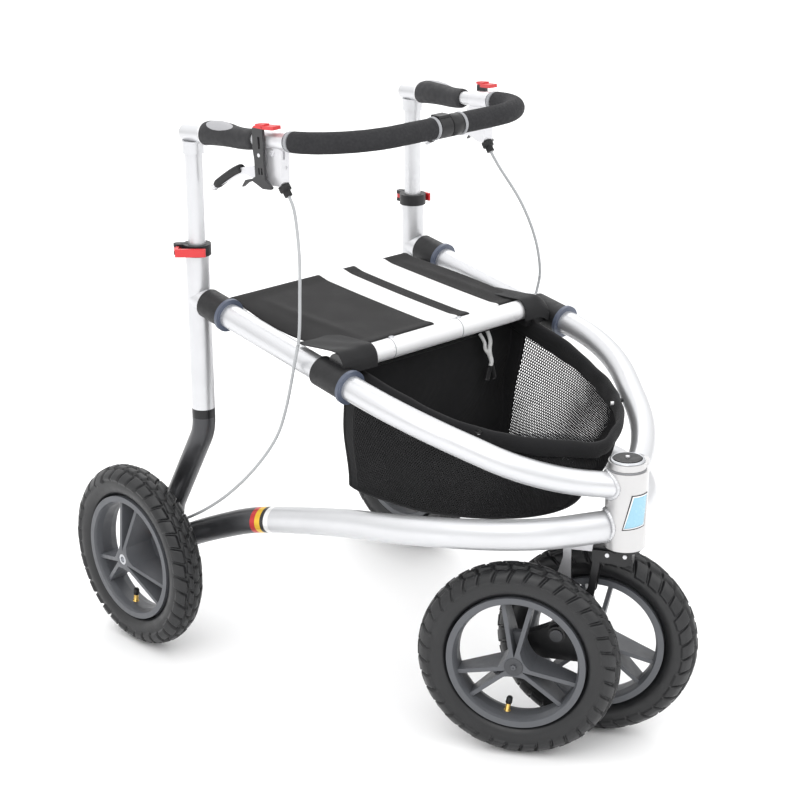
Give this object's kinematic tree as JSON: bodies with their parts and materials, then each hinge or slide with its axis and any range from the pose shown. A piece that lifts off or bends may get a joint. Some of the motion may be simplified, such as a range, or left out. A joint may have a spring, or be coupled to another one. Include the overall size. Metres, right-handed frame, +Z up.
{
  "type": "all terrain rollator",
  "caption": "Sideways folding outdoor walking frame with a sling seat, cloth basket, loop handle with brake levers, large air tyres and a swivelling pair of climbing wheels in front.",
  "frame": {"origin": "centre of the footprint box on the ground", "axes": "+X forward in the walking direction, +Y to the left of the user, +Z up"},
  "size_m": [1.0318, 0.688, 0.9265],
  "materials": {
    "frame_silver": "satin silver paint over aluminium tube",
    "steel": "brushed steel",
    "black_plastic": "moulded black plastic",
    "red_plastic": "red plastic",
    "ring_plastic": "blue grey plastic",
    "white_paint": "white paint",
    "seat_cloth": "woven polyester, black with white stripes",
    "basket_cloth": "black woven polyester with mesh",
    "cable_black": "cable outer",
    "grip_rubber": "soft rubber",
    "foam": "closed cell foam",
    "lever_metal": "cast aluminium",
    "tyre": "knobbly rubber tyre",
    "rim_plastic": "charcoal moulded nylon",
    "fork_black": "black powder coat",
    "bracket_silver": "bright bracket"
  },
  "bodies": {
    "right_frame": {"head_tube": "frame_silver", "hinge_pin": "steel", "right_upper_tube": "frame_silver", "right_lower_tube": "frame_silver", "right_upright": "frame_silver", "right_axle": "steel", "right_brake_plate": "fork_black", "right_collar": "black_plastic", "right_rings": "ring_plastic", "right_cable": "cable_black", "basket": "basket_cloth"},
    "left_frame": {"hinge_barrel": "frame_silver", "left_upper_tube": "frame_silver", "left_lower_tube": "frame_silver", "left_upright": "frame_silver", "left_axle": "steel", "left_brake_plate": "fork_black", "left_collar": "black_plastic", "left_rings": "ring_plastic", "left_cable": "cable_black", "left_rear_sleeve": "black_plastic", "left_front_sleeve": "black_plastic"},
    "seat_frame": {"right_rear_sleeve": "black_plastic", "right_front_sleeve": "black_plastic", "rear_crossbar": "white_paint", "front_crossbar": "white_paint", "seat": "seat_cloth"},
    "right_post_body": {"right_post": "frame_silver"},
    "left_post_body": {"left_post": "frame_silver"},
    "right_handle": {"right_bar": "frame_silver", "right_grip": "grip_rubber", "right_foam": "foam", "bar_connector": "black_plastic", "right_clamp": "lever_metal"},
    "left_handle": {"left_bar": "frame_silver", "left_grip": "grip_rubber", "left_foam": "foam", "left_clamp": "lever_metal"},
    "right_qr": {"right_qr_lever": "red_plastic"},
    "left_qr": {"left_qr_lever": "red_plastic"},
    "right_brake": {"right_brake_lever": "lever_metal"},
    "left_brake": {"left_brake_lever": "lever_metal"},
    "right_parking": {"right_latch": "black_plastic"},
    "left_parking": {"left_latch": "black_plastic"},
    "right_rear_wheel": {"right_rear_tyre": "tyre", "right_rear_rim": "rim_plastic"},
    "left_rear_wheel": {"left_rear_tyre": "tyre", "left_rear_rim": "rim_plastic"},
    "fork": {"fork_crown": "fork_black", "fork_plates": "fork_black", "fork_bolts": "bracket_silver", "head_cap": "black_plastic", "fork_bracket": "bracket_silver"},
    "bogie": {"bogie_beam": "fork_black", "bogie_axles": "steel"},
    "right_front_wheel": {"right_front_tyre": "tyre", "right_front_rim": "rim_plastic"},
    "left_front_wheel": {"left_front_tyre": "tyre", "left_front_rim": "rim_plastic"}
  },
  "joints": [
    {"name": "fold", "type": "hinge", "parent": "right_frame", "child": "left_frame", "pos_m": [0.43307, 0.044, 0.397], "axis": [0, 0, 1], "range_deg": [0, 24], "deforming": ["basket"]},
    {"name": "seat_lift", "type": "hinge", "parent": "right_frame", "child": "seat_frame", "pos_m": [-0.26293, -0.235, 0.613], "axis": [0.9863, 0, -0.1647], "range_deg": [0, 31.2]},
    {"name": "right_height", "type": "slide", "parent": "right_frame", "child": "right_post_body", "axis": [0, 0, 1], "range_m": [-0.03, 0.1], "deforming": ["right_cable"]},
    {"name": "left_height", "type": "slide", "parent": "left_frame", "child": "left_post_body", "axis": [0, 0, 1], "range_m": [-0.03, 0.1], "deforming": ["left_cable"]},
    {"name": "right_swivel", "type": "hinge", "parent": "right_post_body", "child": "right_handle", "pos_m": [-0.26293, -0.235, 0.86], "axis": [0, 0, 1], "range_deg": [-21.6, 0]},
    {"name": "left_swivel", "type": "hinge", "parent": "left_post_body", "child": "left_handle", "pos_m": [-0.26293, 0.235, 0.86], "axis": [0, 0, 1], "range_deg": [0, 9.6]},
    {"name": "right_quick_release", "type": "hinge", "parent": "right_frame", "child": "right_qr", "pos_m": [-0.28339, -0.25694, 0.694], "axis": [0, 0, 1], "range_deg": [-120, 0]},
    {"name": "left_quick_release", "type": "hinge", "parent": "left_frame", "child": "left_qr", "pos_m": [-0.29293, 0.235, 0.694], "axis": [0, 0, 1], "range_deg": [0, 120]},
    {"name": "right_brake_squeeze", "type": "hinge", "parent": "right_handle", "child": "right_brake", "pos_m": [-0.09324, -0.21901, 0.84382], "axis": [-0.0829, 0.9966, 0], "range_deg": [0, 16], "stiffness_Nm_per_rad": 4, "springref_deg": -5.73},
    {"name": "left_brake_squeeze", "type": "hinge", "parent": "left_handle", "child": "left_brake", "pos_m": [-0.09324, 0.21901, 0.84382], "axis": [0.0829, 0.9966, 0], "range_deg": [0, 16], "stiffness_Nm_per_rad": 4, "springref_deg": -5.73},
    {"name": "right_parking_latch", "type": "hinge", "parent": "right_handle", "child": "right_parking", "pos_m": [-0.09671, -0.2193, 0.87364], "axis": [-0.0829, 0.9966, 0], "range_deg": [-12, 0]},
    {"name": "left_parking_latch", "type": "hinge", "parent": "left_handle", "child": "left_parking", "pos_m": [-0.09671, 0.2193, 0.87364], "axis": [0.0829, 0.9966, 0], "range_deg": [-12, 0]},
    {"name": "right_rear_spin", "type": "hinge", "parent": "right_frame", "child": "right_rear_wheel", "pos_m": [-0.35993, -0.31, 0.156], "axis": [0, 1, 0], "continuous": true},
    {"name": "left_rear_spin", "type": "hinge", "parent": "left_frame", "child": "left_rear_wheel", "pos_m": [-0.35993, 0.31, 0.156], "axis": [0, 1, 0], "continuous": true},
    {"name": "fork_swivel", "type": "hinge", "parent": "right_frame", "child": "fork", "pos_m": [0.44507, 0, 0.39], "axis": [0, 0, 1], "continuous": true},
    {"name": "bogie_swing", "type": "hinge", "parent": "fork", "child": "bogie", "pos_m": [0.36281, -0.0514, 0.182], "axis": [-0.5299, 0.848, 0], "range_deg": [-18, 18]},
    {"name": "right_front_spin", "type": "hinge", "parent": "bogie", "child": "right_front_wheel", "pos_m": [0.34632, -0.12125, 0.156], "axis": [-0.5299, 0.848, 0], "continuous": true},
    {"name": "left_front_spin", "type": "hinge", "parent": "bogie", "child": "left_front_wheel", "pos_m": [0.3793, 0.01845, 0.156], "axis": [-0.5299, 0.848, 0], "continuous": true}
  ],
  "couplings": [
    {"joint": "seat_lift", "follows": "fold", "ratio": 1.3},
    {"joint": "left_height", "follows": "right_height", "ratio": 1},
    {"joint": "right_swivel", "follows": "fold", "ratio": -0.9},
    {"joint": "left_swivel", "follows": "fold", "ratio": 0.4}
  ]
}
